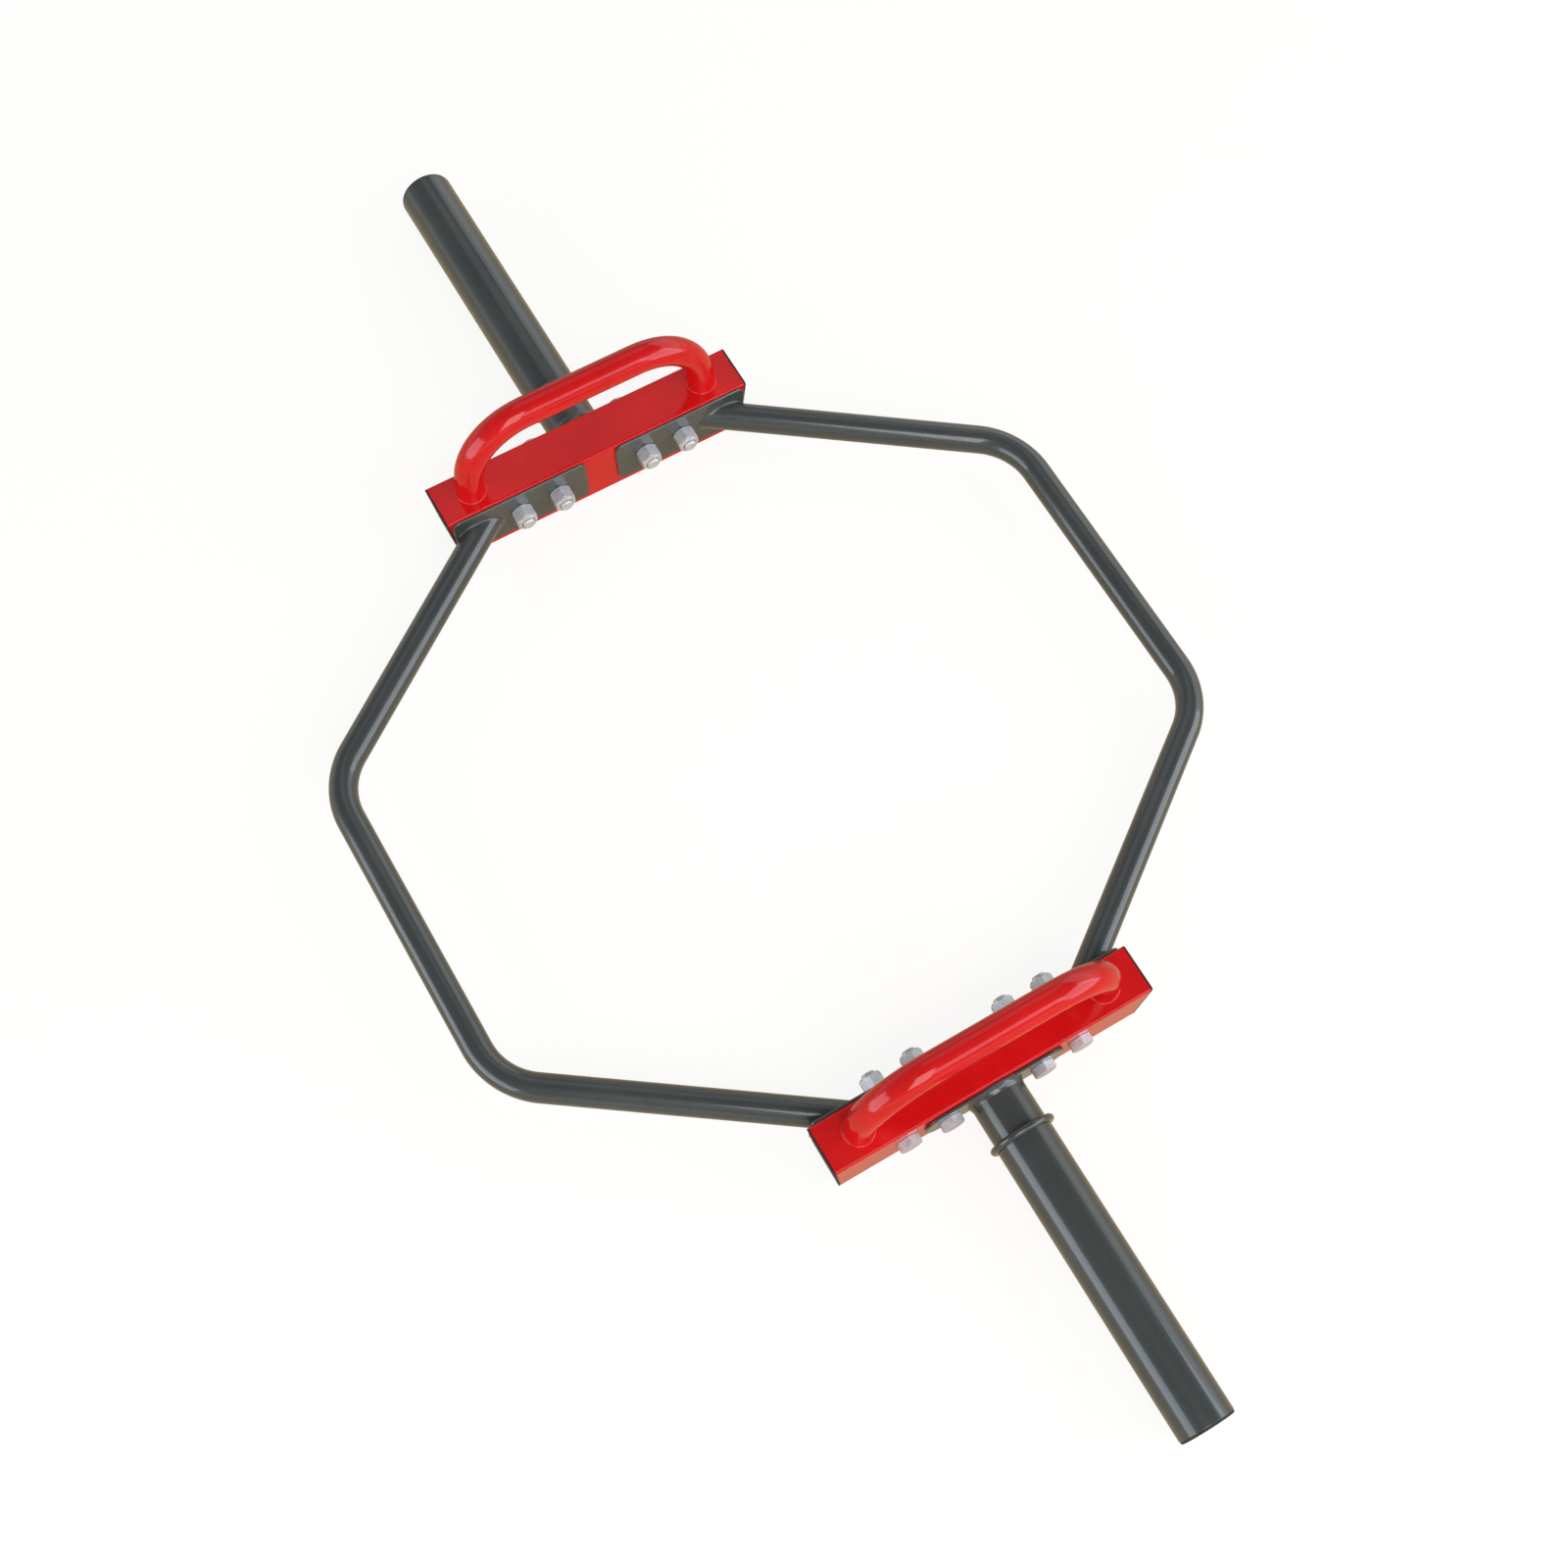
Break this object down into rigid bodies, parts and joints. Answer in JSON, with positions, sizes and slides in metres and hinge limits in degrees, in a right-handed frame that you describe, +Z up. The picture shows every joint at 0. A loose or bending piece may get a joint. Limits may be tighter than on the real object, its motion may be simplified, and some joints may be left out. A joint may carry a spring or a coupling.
{
  "type": "trap bar",
  "caption": "Octagonal trap bar: box beams with raised bent handles, joined by bent ring tubes, with a round loading sleeve bolted to the outside of each beam.",
  "frame": {"origin": "centre of the ring on the floor under the beams", "axes": "+X along the right loading sleeve, +Y towards the front ring tube, +Z up"},
  "size_m": [1.336, 0.7174, 0.149],
  "materials": {
    "red_paint": "gloss",
    "grey_paint": "gloss",
    "zinc_steel": "satin",
    "dark_plastic": "matte",
    "pale_plastic": "matte"
  },
  "bodies": {
    "root": {"front_ring_tube": "grey_paint", "front_ring_welds": "grey_paint", "left_beam": "red_paint", "left_beam_front_cap": "dark_plastic", "left_beam_rear_cap": "dark_plastic", "left_flange_bolts": "zinc_steel", "left_front_plate": "grey_paint", "left_handle": "red_paint", "left_handle_welds": "red_paint", "left_lock_nuts": "zinc_steel", "left_nut_inserts": "pale_plastic", "left_plate_bolts": "zinc_steel", "left_rear_plate": "grey_paint", "left_sleeve": "grey_paint", "left_sleeve_cap": "dark_plastic", "left_sleeve_flange": "grey_paint", "left_sleeve_weld": "grey_paint", "left_stop_ring": "grey_paint", "rear_ring_tube": "grey_paint", "rear_ring_welds": "grey_paint", "right_beam": "red_paint", "right_beam_front_cap": "dark_plastic", "right_beam_rear_cap": "dark_plastic", "right_flange_bolts": "zinc_steel", "right_front_plate": "grey_paint", "right_handle": "red_paint", "right_handle_welds": "red_paint", "right_lock_nuts": "zinc_steel", "right_nut_inserts": "pale_plastic", "right_plate_bolts": "zinc_steel", "right_rear_plate": "grey_paint", "right_sleeve": "grey_paint", "right_sleeve_cap": "dark_plastic", "right_sleeve_flange": "grey_paint", "right_sleeve_weld": "grey_paint", "right_stop_ring": "grey_paint"}
  },
  "joints": []
}
